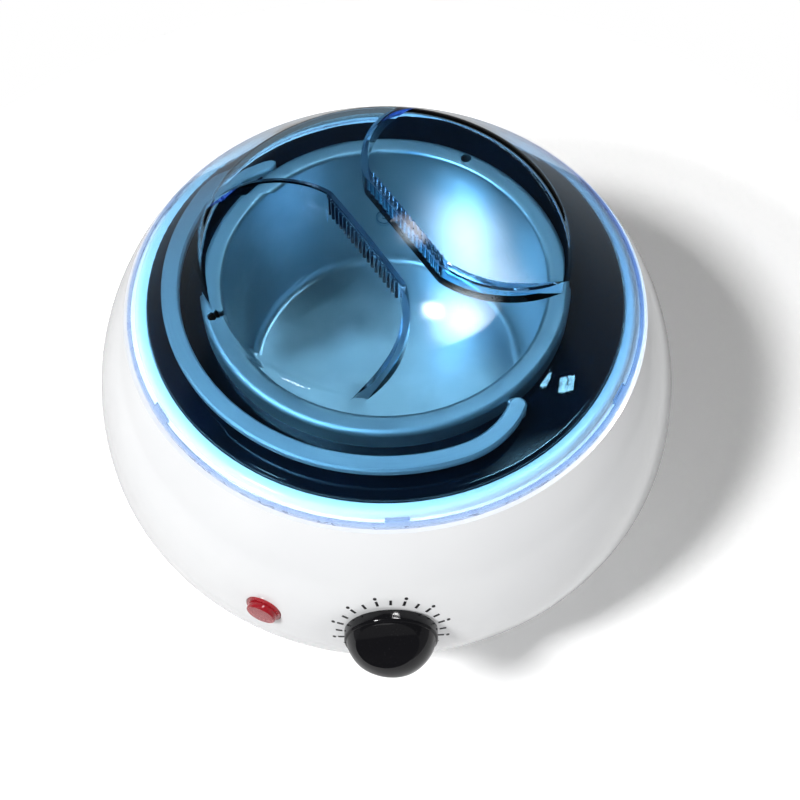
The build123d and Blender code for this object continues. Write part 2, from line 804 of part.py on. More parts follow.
def make_well():
    points = [
        (0, well_floor),
        (well_inner(well_floor), well_floor),
        (well_inner(well_flange_top), well_flange_top),
        (well_flange_radius, well_flange_top),
    ]
    well = pressed_sheet(points, [pot_floor_bend, well_flange_bend], well_wall)
    hole = extrude(Circle(screw_radius + screw_hole_clearance), 4 * well_wall)
    for cut in around(3, well_screw_circle, hole, well_screw_azimuth):
        well -= Pos(0, 0, well_flange_top - 2 * well_wall) * cut
    # Weld studs for the bulb's clip, the fuse's clip and the earth lead
    stud = extrude(Circle(screw_radius), stud_length + well_wall / 2)
    for x, y in stud_places:
        well += Pos(x, y, well_underside - stud_length) * stud
    return well


def tapered_ring(clearance, thickness, low, high):
    """Ring that follows the well's taper, `clearance` away from it."""
    inner = [well_outer(z) + clearance for z in (low, high)]
    outer = [r + thickness for r in inner]
    return turned_points([(inner[0], low), (outer[0], low), (outer[1], high), (inner[1], high)])


def rear_gap(width):
    """Upright slab behind the axis that opens a ring at the rear."""
    return Pos(0, shield_radius / 2, 0) * block(width, shield_radius, flange_top)


def make_band_heater():
    high = band_bottom + band_height
    band = tapered_ring(fit_clearance, band_thickness, band_bottom, high) - rear_gap(band_gap)
    stud = Rot(0, 90, 0) * extrude(Circle(terminal_radius), band_thickness / 2 + terminal_length)
    start = well_outer(terminal_height) + band_thickness / 2
    for side in (-1, 1):
        band += polar(start, 90 + side * terminal_turn, terminal_height) * stud
    return band


def make_heater_clamp():
    """Sheet strap round the band, with two ears at the rear that the clamp screw draws together."""
    high = clamp_bottom + ear_height
    clear = band_thickness + 2 * fit_clearance
    strap = tapered_ring(clear, clamp_thickness, clamp_bottom, high) - rear_gap(band_gap)
    foot = well_outer(clamp_bottom) + clear
    head = well_outer(high) + clear
    inside = turned_points([(0, clamp_bottom), (foot, clamp_bottom), (head, high), (0, high)])
    start = well_outer(clamp_bottom)
    reach = clamp_screw_y + ear_length / 2 - start
    for side in (-1, 1):
        ear = block(ear_thickness, reach, ear_height)
        place_x = side * (band_gap / 2 + ear_thickness / 2)
        strap += Pos(place_x, start + reach / 2, clamp_bottom) * ear - inside
        hole = Rot(0, 90, 0) * Cylinder(screw_radius + screw_hole_clearance, 4 * ear_thickness)
        strap -= Pos(place_x, clamp_screw_y, clamp_bottom + ear_height / 2) * hole
    return strap


def make_clamp_screw():
    span = band_gap + 2 * ear_thickness
    nut = Pos(0, 0, span) * extrude(RegularPolygon(screw_head_radius, 6), nut_height)
    place = Pos(-span / 2, clamp_screw_y, clamp_bottom + ear_height / 2) * Rot(0, 90, 0)
    return place * (screw(span + nut_height + 2) + nut)


def make_insulation_wrap():
    clear = band_thickness + clamp_thickness + 3 * fit_clearance
    wrap = tapered_ring(clear, wrap_thickness, band_bottom, band_bottom + band_height)
    return wrap - rear_gap(wrap_gap)


def make_heat_shield():
    top = well_flange_top - well_wall
    inner = well_screw_circle - screw_head_radius - 1
    points = [(inner, top), (shield_radius, top), (shield_radius, shield_bottom)]
    shield = pressed_sheet(points, shield_bend, shield_wall)
    hole = extrude(Circle(screw_radius + screw_hole_clearance), 4 * shield_wall)
    for cut in around(3, well_screw_circle, hole, well_screw_azimuth):
        shield -= Pos(0, 0, top - 2 * shield_wall) * cut
    return shield


def make_well_screws():
    low = well_flange_top - well_wall - shield_wall
    screws = around(3, well_screw_circle, screw(deck_underside - low), well_screw_azimuth)
    return Pos(0, 0, low) * Compound(children=screws)


# Sensor, fuse and their clips under the well


def rod(radius, length):
    """Rod along X, centred."""
    return Rot(0, 90, 0) * Cylinder(radius, length)


def make_sensor_bulb():
    return Pos(0, bulb_y, well_underside - bulb_radius - fit_clearance) * rod(bulb_radius, bulb_length)


def make_thermal_fuse():
    fuse = rod(fuse_radius, fuse_length) + rod(fuse_lead_radius, fuse_length + 2 * fuse_tail)
    return Pos(0, fuse_y, well_underside - fuse_radius - fit_clearance) * fuse


def strap_clip(rod_y, radius, foot_y):
    """Sheet strap that holds a rod up against the well's underside, with one screwed foot."""
    inner = radius + 2 * fit_clearance
    outer = inner + clip_thickness
    depth = radius + fit_clearance
    toward = 1 if foot_y > rod_y else -1
    arch = Circle(outer) + Pos(0, depth / 2) * Rectangle(2 * outer, depth)
    arch -= Circle(inner) + Pos(0, depth) * Rectangle(2 * inner, 2 * depth)
    arch &= Pos(0, depth - 2 * outer) * Rectangle(2 * outer, 4 * outer)
    reach = abs(foot_y - rod_y) + clip_width / 2 - inner
    foot = Pos(toward * (inner + reach / 2), depth - clip_thickness / 2) * Rectangle(reach, clip_thickness)
    # The section is drawn across the rod: its X runs along world Y, its Y straight up
    across = Plane(origin=(-clip_width / 2, rod_y, well_underside - depth), x_dir=(0, 1, 0), z_dir=(1, 0, 0))
    clip = across * extrude(arch + foot, clip_width)
    hole = extrude(Circle(screw_radius + screw_hole_clearance), 6)
    return clip - Pos(0, foot_y, well_underside - 3) * hole


def make_bulb_clip():
    return strap_clip(bulb_y, bulb_radius, bulb_y + clip_reach)


def make_fuse_clip():
    return strap_clip(fuse_y, fuse_radius, fuse_y - clip_reach)


def make_stud_nuts():
    """Nuts on the three weld studs, two under a clip's foot and one under the earth eyelet."""
    nut = extrude(RegularPolygon(nut_radius, 6) - Circle(screw_radius + screw_clearance), nut_height)
    plates = (clip_thickness, clip_thickness, eyelet_thickness)
    return Compound(
        children=[
            Pos(x, y, well_underside - plate - nut_height) * nut for (x, y), plate in zip(stud_places, plates)
        ]
    )


# Mains inlet


def make_inlet_body():
    """Appliance inlet: flange, body behind it, open socket in front, two snap lugs behind the pad."""
    wide = inlet_width - 2 * inlet_rim
    tall = inlet_tall - 2 * inlet_rim
    flange = Pos(0, 0, -inlet_recess) * block(inlet_width, inlet_tall, inlet_flange)
    flange = fillet(flange.edges().filter_by(Axis.Z), inlet_corner)
    body = flange + Pos(0, 0, -inlet_recess - inlet_body_depth) * block(wide, tall, inlet_body_depth)
    socket = block(wide - 2 * socket_wall, tall - 2 * socket_wall, 2 * socket_depth)
    socket = chamfer(socket.edges().filter_by(Axis.Z).group_by(Axis.Y)[-1], socket_corner)
    body -= Pos(0, 0, inlet_flange - inlet_recess - socket_depth) * socket
    slot = block(inlet_pin_width, inlet_pin_height, inlet_body_depth)
    for x, y in inlet_pin_places:
        body -= Pos(x, y, -inlet_recess - inlet_body_depth - 1) * slot
    # Each lug is a wedge that slips through the window and springs out behind the pad
    for side in (-1, 1):
        wedge = Polyline((-1, -snap_length), (0, -snap_length), (snap_height, 0), (-1, 0), close=True)
        lug = Pos(0, snap_width / 2, 0) * extrude(Plane.XZ * make_face(wedge), snap_width)
        lug = Rot(0, 0, 90 - side * 90) * Pos(wide / 2, 0, 0) * lug
        body += Pos(0, 0, -inlet_recess - inlet_pad - small_slack / 3) * lug
    return inlet_plane * body


def make_inlet_pins():
    front = inlet_flange - inlet_recess - socket_depth + inlet_pin_length
    back = inlet_tab_end
    pin = block(inlet_pin_width, inlet_pin_height, front - back)
    pin = chamfer(pin.edges().group_by(Axis.Z)[-1], 0.5)
    return inlet_plane * Compound(children=[Pos(x, y, back) * pin for x, y in inlet_pin_places])


# Terminal block and leads


def make_terminal_block():
    body = Pos(0, block_y, base_height) * block(block_length, block_width, block_height)
    body = chamfer(body.edges().group_by(Axis.Z)[-1], tab_thickness)
    bore = Rot(90, 0, 0) * Cylinder(lead_diameter / 2 + screw_clearance * 2, 2 * entry_depth)
    shaft = extrude(Circle(clamp_head_radius + screw_clearance * 2), 2 * block_clamp_depth)
    for x in block_ways:
        for side in (-1, 1):
            for z in block_levels:
                body -= Pos(x, block_y + side * block_width / 2, z) * bore
            body -= Pos(x, block_y + side * block_clamp_offset, block_clamp_floor) * shaft
    hole = extrude(Circle(screw_radius + screw_clearance), block_height / 2)
    return body - [Pos(x, block_y, base_height) * hole for x in block_screw_places]


def make_terminal_screws():
    slot = Pos(0, 0, clamp_head_height - screw_slot) * block(4 * clamp_head_radius, screw_slot, screw_slot)
    head = extrude(Circle(clamp_head_radius), clamp_head_height) - slot
    places = [(x, block_y + side * block_clamp_offset) for x in block_ways for side in (-1, 1)]
    return Compound(children=[Pos(x, y, block_clamp_floor) * head for x, y in places])


def make_block_screws():
    length = base_pan_thickness + block_height / 2 - 1
    return Compound(children=[Pos(x, block_y, base_underside) * screw(length) for x in block_screw_places])


def point(frame, x, y, z):
    """World position of a point given in a plane's own directions."""
    return (frame.location * Pos(x, y, z)).position


def lead(points, diameter=lead_diameter, bend=lead_bend):
    """Round lead along a path of straight runs with rounded bends."""
    path = FilletPolyline(*points, radius=bend)
    return sweep((path ^ 0) * Circle(diameter / 2), path=path)


def entry(way, level, side):
    """Last two points of a lead: in front of a way of the block, and inside it."""
    face = block_y + side * block_width / 2
    x = block_ways[way]
    z = block_levels[level]
    return [(x, face + side * entry_run, z), (x, face - side * (entry_depth - 1), z)]


def make_mains_leads():
    leads = []
    for pin, way in ((0, 1), (1, 0)):
        tab = point(inlet_plane, *inlet_pin_places[pin], inlet_tab_end)
        turn = entry(way, 0, 1)[0]
        landing = (tab.X, turn[1] + entry_run, turn[2])
        leads.append(lead([tab, (tab.X, tab.Y - lead_exit, tab.Z), landing, *entry(way, 0, 1)]))
    return Compound(children=leads)


def make_heater_leads():
    leads = []
    for side, way in ((-1, 3), (1, 0)):
        azimuth = 90 + side * terminal_turn
        reach = well_outer(terminal_height) + band_thickness + terminal_length
        start = polar(reach, azimuth, terminal_height).position
        out = polar(reach + lead_bend + 1, azimuth, terminal_height).position
        path = [start, out, (out.X, out.Y, shield_bottom - 2 * entry_run), *entry(way, 1, 1)]
        leads.append(lead(path, bend=0.75 * lead_bend))
    return Compound(children=leads)


def make_fuse_leads():
    height = well_underside - fuse_radius - fit_clearance
    end = fuse_length / 2 + fuse_tail
    turn = end + lead_exit
    leads = []
    for side, way in ((-1, 1), (1, 2)):
        path = [
            (side * end, fuse_y, height),
            (side * turn, fuse_y, height),
            (side * turn, fuse_y - lead_spread, height - lead_drop),
            *entry(way, 1, -1),
        ]
        leads.append(lead(path))
    return Compound(children=leads)


def make_thermostat_leads():
    leads = []
    inset = seat_flat_depth + thermostat_pad + thermostat_depth + tab_length
    for side, way in ((-1, 2), (1, 3)):
        start = point(knob_plane, side * tab_offset, -tab_offset, -inset)
        inward = point(knob_plane, side * tab_offset, -tab_offset, -inset - lead_exit)
        turn = entry(way, 0, -1)
        low = (inward.X, inward.Y + lead_spread, block_levels[0])
        leads.append(lead([start, inward, low, (inward.X, turn[0][1] - 3 * entry_run, low[2]), *turn]))
    return Compound(children=leads)


def make_lamp_leads():
    inset = lamp_stem_length + lamp_body_length + lamp_tab_length
    leads = []
    for side, way, level in ((-1, 0, 0), (1, 3, 1)):
        start = point(lamp_plane, side * lamp_tab_offset, 0, -inset)
        inward = point(lamp_plane, side * lamp_tab_offset, 0, -inset - 1.5 * lead_bend)
        turn = entry(way, level, -1)
        middle = (inward.X, inward.Y + lead_spread / 2, equator_height - lead_drop)
        low = (inward.X + side * lead_bend, turn[0][1] - 4 * entry_run, block_levels[level])
        leads.append(lead([start, inward, middle, low, *turn], diameter=lamp_lead_diameter))
    return Compound(children=leads)


def make_earth_lead():
    """Lead from the inlet's earth pin to an eyelet on the well's third stud."""
    tab = point(inlet_plane, *inlet_pin_places[2], inlet_tab_end)
    x, y = stud_places[2]
    level = well_underside - eyelet_thickness
    eyelet = Circle(eyelet_radius) + Pos(0, eyelet_tail / 2) * Rectangle(lead_diameter, eyelet_tail)
    eyelet -= Circle(screw_radius + screw_clearance)
    plate = Pos(x, y, level) * extrude(eyelet, eyelet_thickness)
    low = level - lead_diameter / 2 + eyelet_thickness / 2
    crimp = (x, y + 0.6 * eyelet_tail, low)
    path = [
        tab,
        (tab.X, tab.Y - lead_exit, tab.Z),
        (x, shield_radius - lead_spread, shield_bottom - 2 * lead_diameter),
        (x, y + 2 * eyelet_tail, low),
        crimp,
    ]
    return plate + lead(path)


def make_capillary():
    start = (bulb_length / 2, bulb_y, well_underside - bulb_radius - fit_clearance)
    inset = seat_flat_depth + thermostat_pad + thermostat_depth
    last = point(knob_plane, 0, 0, -inset)
    out = point(knob_plane, 0, 0, -inset - lead_bend - 1)
    low = shield_bottom - 4 * capillary_diameter
    side = start[0] + lead_exit
    path = [
        start,
        (side, bulb_y, start[2]),
        (side, bulb_y - lead_spread, low),
        (tab_offset, out.Y + lead_spread, low),
        (0, out.Y, low),
        (0, out.Y, out.Z),
        last,
    ]
    return lead(path, diameter=capillary_diameter, bend=0.75 * lead_bend)


# Base


def make_base_pan():
    pan = Pos(0, 0, base_underside) * extrude(Circle(base_pan_radius), base_pan_thickness)
    pan = fillet(pan.edges().group_by(Axis.Z)[0], base_pan_thickness / 2)
    spigot = base_opening - small_slack
    pan += ring(spigot - base_spigot_wall, spigot, base_height, base_height + base_spigot_height)
    post = extrude(Circle(base_post_radius + small_slack), 2 * base_spigot_height)
    cuts = [Pos(0, 0, base_height) * one for one in around(4, base_screw_circle, post, 45)]
    low = base_underside - base_pan_thickness
    hole = extrude(Circle(screw_radius + screw_hole_clearance), 3 * base_pan_thickness)
    stem = extrude(Circle(foot_stem_radius + screw_clearance), 3 * base_pan_thickness)
    slot = extrude(SlotOverall(vent_length, vent_width), 3 * base_pan_thickness)
    slots = around(vent_count, vent_inner + vent_length / 2, slot, 180 / vent_count)
    drills = [*around(4, base_screw_circle, hole, 45), *around(4, foot_circle, stem, 45)]
    drills += [Pos(x, block_y, 0) * hole for x in block_screw_places]
    drills += [one for one in slots if not under_block(one)]
    return pan - cuts - [Pos(0, 0, low) * one for one in drills]


def under_block(shape):
    """Whether a vent slot would end under the terminal block."""
    middle = shape.bounding_box().center()
    clear_x = block_length / 2 + vent_length / 2
    clear_y = block_width / 2 + vent_length / 2
    return abs(middle.X) < clear_x and abs(middle.Y - block_y) < clear_y


def make_base_screws():
    screws = around(4, base_screw_circle, screw(base_pan_thickness + base_screw_bite), 45)
    return Pos(0, 0, base_underside) * Compound(children=screws)


def make_rubber_feet():
    """Four feet, each with a stem through the base pan and a lip above it."""
    foot = extrude(Circle(foot_radius), base_underside)
    foot = fillet(foot.edges(), foot_round)
    foot += Pos(0, 0, base_underside) * extrude(Circle(foot_stem_radius), base_pan_thickness)
    foot += Pos(0, 0, base_height) * Cone(
        foot_stem_radius + foot_barb,
        foot_stem_radius,
        foot_barb_height,
        align=(Align.CENTER, Align.CENTER, Align.MIN),
    )
    return Compound(children=around(4, foot_circle, foot, 45))


builders = {
    "housing_shell": make_housing,
    "dial_marks": make_dial_marks,
    "deck_ring": make_deck,
    "deck_screws": make_deck_screws,
    "pot": make_pot,
    "bail": make_bail,
    "bail_pins": make_bail_pins,
    "lid": make_lid,
    "knob": make_knob,
    "knob_clip": make_knob_clip,
    "thermostat_shaft": make_shaft,
    "thermostat_body": make_thermostat,
    "thermostat_screws": make_thermostat_screws,
    "lamp_lens": make_lamp_lens,
    "lamp_nut": make_lamp_nut,
    "lamp_body": make_lamp_body,
    "heater_well": make_well,
    "well_screws": make_well_screws,
    "band_heater": make_band_heater,
    "heater_clamp": make_heater_clamp,
    "clamp_screw": make_clamp_screw,
    "insulation_wrap": make_insulation_wrap,
    "heat_shield": make_heat_shield,
    "sensor_bulb": make_sensor_bulb,
    "bulb_clip": make_bulb_clip,
    "capillary_tube": make_capillary,
    "thermal_fuse": make_thermal_fuse,
    "fuse_clip": make_fuse_clip,
    "stud_nuts": make_stud_nuts,
    "inlet_body": make_inlet_body,
    "inlet_pins": make_inlet_pins,
    "terminal_block": make_terminal_block,
    "terminal_screws": make_terminal_screws,
    "block_screws": make_block_screws,
    "mains_leads": make_mains_leads,
    "heater_leads": make_heater_leads,
    "fuse_leads": make_fuse_leads,
    "thermostat_leads": make_thermostat_leads,
    "lamp_leads": make_lamp_leads,
    "earth_lead": make_earth_lead,
    "base_pan": make_base_pan,
    "base_screws": make_base_screws,
    "rubber_feet": make_rubber_feet,
}

os.makedirs("parts", exist_ok=True)
for name, build in builders.items():
    export_step(build(), f"parts/{name}.step")
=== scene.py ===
import json
from math import atan2, pi, radians

import bmesh
import bpy
from mathutils import Matrix, Vector


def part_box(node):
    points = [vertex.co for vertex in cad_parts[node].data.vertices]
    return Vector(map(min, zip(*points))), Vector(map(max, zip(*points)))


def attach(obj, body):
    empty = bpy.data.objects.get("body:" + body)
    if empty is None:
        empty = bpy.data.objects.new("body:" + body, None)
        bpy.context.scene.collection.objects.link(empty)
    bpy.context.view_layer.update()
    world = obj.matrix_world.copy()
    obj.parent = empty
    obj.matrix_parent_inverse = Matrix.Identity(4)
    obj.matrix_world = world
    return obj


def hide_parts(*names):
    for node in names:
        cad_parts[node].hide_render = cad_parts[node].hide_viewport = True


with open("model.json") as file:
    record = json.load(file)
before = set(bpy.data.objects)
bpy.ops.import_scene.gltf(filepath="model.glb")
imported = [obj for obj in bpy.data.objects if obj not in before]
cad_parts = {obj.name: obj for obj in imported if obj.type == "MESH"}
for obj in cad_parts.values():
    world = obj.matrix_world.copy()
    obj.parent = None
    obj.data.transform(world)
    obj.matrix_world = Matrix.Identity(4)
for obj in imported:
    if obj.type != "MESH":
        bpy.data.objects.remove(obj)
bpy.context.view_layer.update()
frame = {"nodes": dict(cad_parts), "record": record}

record = frame["record"]
joints = {joint["name"]: joint for joint in record["behaviour"]["joints"]}

# Lengths of the scene in metres, and its angles in radians
mm = 0.001

# Dial marks
ink_thickness = 0.15 * mm
tick_size = (2.4 * mm, 0.9 * mm, 2 * ink_thickness)
tick_circle = 19.3 * mm
dot_circle = 22.0 * mm
dot_radius = 0.65 * mm
mark_step = radians(15.0)
mark_count = 19
drop_height = 20.0 * mm

# Heights and circles at which a finish changes
rim_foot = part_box("lid")[0][2]
edge_height = rim_foot + 1.2 * mm
rim_height = rim_foot + 2.0 * mm
skirt_height = rim_foot + 8.0 * mm
gate_offset = 3.0 * mm
gate_ring = (2.1 * mm, 2.5 * mm, 2.9 * mm, 3.3 * mm)
mouth_radius = 60.0 * mm
flange_radius = 64.0 * mm

# Corners of a mesh that are closer than this are joined
weld_gap = 0.002 * mm

# Stage
table_radius = 300.0 * mm
shadow_middle = (85.0 * mm, 20.0 * mm)
shadow_reach = (165.0 * mm, 200.0 * mm)
middle = (0.0, 0.0, 90.0 * mm)
camera_place = (0.0, -318.61 * mm, 559.47 * mm)
camera_look = (0.00907, 0.52901, -0.84857)
camera_roll = radians(-0.1)

# Lens and sensor, which the camera takes in millimetres
camera_lens = 63.0
sensor_width = 36.0

# Panes of the far window in the room's ceiling, as slopes from the object
pane_lefts = (0.184, 0.195)
pane_nears = (0.587, 0.6)
pane_width = 0.0085
pane_depth = 0.0105


# Nodes


class Link:
    """An output of a node. Arithmetic on it adds Math nodes."""

    def __init__(self, owner, output):
        self.owner = owner
        self.output = output

    def math(self, operation, *operands):
        return self.owner.node("ShaderNodeMath", {"operation": operation}, *operands)[0]

    def __add__(self, other):
        return self.math("ADD", self, other)

    def __radd__(self, other):
        return self.math("ADD", other, self)

    def __sub__(self, other):
        return self.math("SUBTRACT", self, other)

    def __rsub__(self, other):
        return self.math("SUBTRACT", other, self)

    def __mul__(self, other):
        return self.math("MULTIPLY", self, other)

    def __truediv__(self, other):
        return self.math("DIVIDE", self, other)

    def __pow__(self, other):
        return self.math("POWER", self, other)

    def smooth(self, low, high):
        """0 below low, 1 above high, with a soft step between them."""
        settings = {"interpolation_type": "SMOOTHSTEP"}
        sockets = {"Value": self, "From Min": low, "From Max": high}
        return self.owner.node("ShaderNodeMapRange", settings, **sockets)[0]


class Nodes:
    """A node tree that is built by calls."""

    def __init__(self, tree):
        self.tree = tree

    def node(self, kind, settings=None, *values, **named):
        """A node with its settings, then its sockets by order or by name; returns its outputs."""
        made = self.tree.nodes.new(kind)
        for key, setting in (settings or {}).items():
            setattr(made, key, setting)
        sockets = list(enumerate(values)) + [(key.replace("_", " "), value) for key, value in named.items()]
        for key, value in sockets:
            if isinstance(value, Link):
                self.tree.links.new(value.output, made.inputs[key])
            else:
                made.inputs[key].default_value = value
        outputs = {index: Link(self, output) for index, output in enumerate(made.outputs)}
        outputs.update({output.name: Link(self, output) for output in made.outputs if output.enabled})
        return outputs

    def vector(self, operation, *operands, **named):
        """A Vector Math node; its first output is the vector, its second the number."""
        return self.node("ShaderNodeVectorMath", {"operation": operation}, *operands, **named)


class Finish(Nodes):
    """A procedural material. Lengths are in metres, on the piece's own coordinates."""

    def __init__(self, name):
        self.material = bpy.data.materials.new(name)
        self.material.use_nodes = True
        super().__init__(self.material.node_tree)
        self.tree.nodes.clear()
        self.place = self.node("ShaderNodeTexCoord")["Object"]

    def noise(self, scale, detail=2.0, roughness=0.5, place=None):
        sockets = {"Vector": place or self.place, "Scale": scale, "Detail": detail, "Roughness": roughness}
        return self.node("ShaderNodeTexNoise", None, **sockets)["Fac"]

    def mix(self, factor, first, second):
        """Colour between two colours."""
        made = self.tree.nodes.new("ShaderNodeMix")
        made.data_type = "RGBA"
        for index, value in ((0, factor), (6, first), (7, second)):
            if isinstance(value, Link):
                self.tree.links.new(value.output, made.inputs[index])
            else:
                made.inputs[index].default_value = value if index == 0 else (*value, 1.0)
        return Link(self, made.outputs[2])

    def parts(self):
        """The piece's X, Y and Z."""
        apart = self.node("ShaderNodeSeparateXYZ", None, self.place)
        return apart[0], apart[1], apart[2]

    def stretched(self, x, y, z):
        """The piece's coordinates, stretched along each axis."""
        return self.node("ShaderNodeMapping", None, Vector=self.place, Scale=(x, y, z))["Vector"]

    def polar(self, across, along, up):
        """Coordinates that run outwards, round the upright axis and upwards."""
        x, y, z = self.parts()
        radius = (x * x + y * y) ** 0.5
        angle = y.math("ARCTAN2", y, x)
        return self.node("ShaderNodeCombineXYZ", None, radius * across, angle * along, z * up)["Vector"]

    def bump(self, height, depth, strength):
        sockets = {"Height": height, "Distance": depth, "Strength": strength}
        return self.node("ShaderNodeBump", None, **sockets)["Normal"]

    def surface(self, **sockets):
        """Ends the material in a Principled shader with these sockets."""
        colour = sockets.get("Base_Color")
        if colour is not None and not isinstance(colour, Link):
            sockets["Base_Color"] = (*colour, 1.0)
        shader = self.node("ShaderNodeBsdfPrincipled", None, **sockets)["BSDF"]
        self.node("ShaderNodeOutputMaterial", None, Surface=shader)
        return self.material


# Finishes


def glossy_white():
    f = Finish("glossy white moulding")
    haze = f.noise(18.0, 3.0)
    peel = f.noise(700.0, 1.0)
    colour = f.mix(haze.smooth(0.35, 0.7), (0.87, 0.88, 0.895), (0.9, 0.91, 0.92))
    return f.surface(
        Base_Color=colour,
        Roughness=haze * 0.08 + 0.1,
        Coat_Weight=0.35,
        Coat_Roughness=0.06,
        Normal=f.bump(peel, 0.02 * mm, 0.35),
    )


def glossy_black():
    f = Finish("glossy black deck")
    haze = f.noise(30.0, 4.0)
    dust = f.noise(2600.0, 1.0).smooth(0.72, 0.8)
    colour = f.mix(dust * 0.25, (0.0015, 0.003, 0.006), (0.05, 0.055, 0.06))
    return f.surface(Base_Color=colour, Roughness=haze * 0.01 + dust * 0.2)


def clear_blue():
    """Clear moulding that is deepest where light runs along its walls and palest on its upright rim."""
    f = Finish("clear blue moulding")
    haze = f.noise(45.0, 3.0)
    x, y, z = f.parts()
    over = z.smooth(rim_height, skirt_height)
    edge = 1.0 - z.smooth(rim_foot, edge_height)
    skirt = f.mix(over, (0.97, 0.99, 1.0), (0.56, 0.83, 0.93))
    tint = f.mix(edge, skirt, (0.66, 0.66, 0.93))
    tone = f.mix(haze * 0.2, tint, (0.62, 0.88, 0.96))
    # Painted shade: the moulding gate's ring near the middle of the crown, a shallow groove, is painted
    # darker than the lid round it
    reach = (x * x + (y - gate_offset) ** 2.0) ** 0.5
    painted_gate_shade = reach.smooth(*gate_ring[:2]) * (1.0 - reach.smooth(*gate_ring[2:]))
    colour = f.mix(painted_gate_shade * 0.75, tone, (0.3, 0.55, 0.72))
    gloss = f.node(
        "ShaderNodeBsdfPrincipled",
        None,
        Base_Color=colour,
        Roughness=haze.smooth(0.5, 0.8) * 0.02,
        Transmission_Weight=1.0,
        IOR=1.42,
        Specular_Tint=(0.3, 0.3, 0.3, 1.0),
    )["BSDF"]
    # Light falls through the lid onto the pot, where the glass alone would throw a full shadow
    passed = f.mix(over, (0.88, 0.94, 0.98), (0.56, 0.8, 0.93))
    through = f.node("ShaderNodeBsdfTransparent", None, Color=passed)["BSDF"]
    shadow = f.node("ShaderNodeLightPath")["Is Shadow Ray"]
    shader = f.node("ShaderNodeMixShader", None, shadow, gloss, through)["Shader"]
    inside = f.node("ShaderNodeVolumeAbsorption", None, Color=(0.02, 0.35, 0.82, 1.0), Density=50.0)
    f.node("ShaderNodeOutputMaterial", None, Surface=shader, Volume=inside["Volume"])
    return f.material


def spun_aluminium():
    f = Finish("spun aluminium")
    lines = f.noise(1.0, 3.0, 0.65, f.polar(2600.0, 3.0, 2600.0))
    clouds = f.noise(38.0, 5.0, 0.6)
    specks = f.noise(900.0, 2.0).smooth(0.6, 0.75)
    dull = clouds.smooth(0.42, 0.68)
    x, y, z = f.parts()
    flange = ((x * x + y * y) ** 0.5).smooth(mouth_radius, flange_radius)
    colour = f.mix(dull, (0.49, 0.52, 0.55), (0.56, 0.58, 0.605))
    turned = f.mix(flange, colour, (0.32, 0.36, 0.4))
    return f.surface(
        Base_Color=f.mix(specks * 0.2, turned, (0.5, 0.52, 0.55)),
        Metallic=1.0,
        Anisotropic=0.2,
        Roughness=0.3 + lines * 0.06 + dull * 0.04 + flange * 0.2,
        Normal=f.bump(lines, 0.03 * mm, 0.5),
    )


def satin_metal(name, colour, roughness=0.28, metal=1.0):
    f = Finish(name)
    lines = f.noise(1.0, 3.0, 0.6, f.polar(1800.0, 4.0, 1800.0))
    tone = f.mix(lines, colour, [c * 0.86 for c in colour])
    return f.surface(
        Base_Color=tone,
        Metallic=metal,
        Roughness=lines * 0.14 + roughness,
        Normal=f.bump(lines, 0.02 * mm, 0.4),
    )


def plated_metal(name, colour):
    f = Finish(name)
    patches = f.noise(260.0, 4.0)
    tone = f.mix(patches, colour, [c * 0.8 for c in colour])
    return f.surface(Base_Color=tone, Metallic=1.0, Roughness=patches * 0.2 + 0.22)


def knob_black():
    f = Finish("black knob moulding")
    smears = f.noise(1.0, 4.0, 0.6, f.stretched(90.0, 260.0, 260.0))
    specks = f.noise(1900.0, 1.0).smooth(0.7, 0.8)
    colour = f.mix(specks * 0.4, (0.004, 0.004, 0.005), (0.06, 0.06, 0.065))
    return f.surface(
        Base_Color=colour,
        Roughness=smears.smooth(0.4, 0.8) * 0.1 + 0.05,
        Specular_IOR_Level=0.4,
        Normal=f.bump(f.noise(130.0, 1.0), 0.3 * mm, 0.6),
    )


def clear_red():
    f = Finish("clear red moulding")
    depth = f.noise(420.0, 2.0)
    return f.surface(
        Base_Color=f.mix(depth, (0.5, 0.008, 0.02), (0.72, 0.03, 0.05)),
        Roughness=depth * 0.06 + 0.05,
        Transmission_Weight=0.55,
        IOR=1.49,
        Coat_Weight=0.5,
        Coat_Roughness=0.02,
    )


def printed_ink():
    f = Finish("printed ink")
    grain = f.noise(3200.0, 2.0)
    colour = f.mix(grain.smooth(0.35, 0.75), (0.008, 0.008, 0.009), (0.035, 0.035, 0.038))
    return f.surface(Base_Color=colour, Roughness=grain * 0.1 + 0.38)


def moulded(name, colour, roughness=0.45, grain=1500.0, depth=0.04 * mm):
    f = Finish(name)
    texture = f.noise(grain, 2.0)
    tone = f.mix(f.noise(60.0, 3.0), colour, [c * 0.9 for c in colour])
    normal = f.bump(texture, depth, 0.6)
    return f.surface(Base_Color=tone, Roughness=texture * 0.15 + roughness, Normal=normal)


def woven_fibre():
    f = Finish("woven fibre")
    around = f.polar(900.0, 110.0, 0.0)
    upward = f.polar(900.0, 0.0, 1500.0)
    warp = f.node("ShaderNodeTexWave", {"bands_direction": "Y"}, Vector=around, Scale=1.0)["Fac"]
    weft = f.node("ShaderNodeTexWave", {"bands_direction": "Z"}, Vector=upward, Scale=1.0)["Fac"]
    weave = warp * weft
    tone = f.mix(weave, (0.62, 0.6, 0.55), (0.86, 0.85, 0.8))
    return f.surface(Base_Color=tone, Roughness=0.95, Normal=f.bump(weave, 0.3 * mm, 0.8))


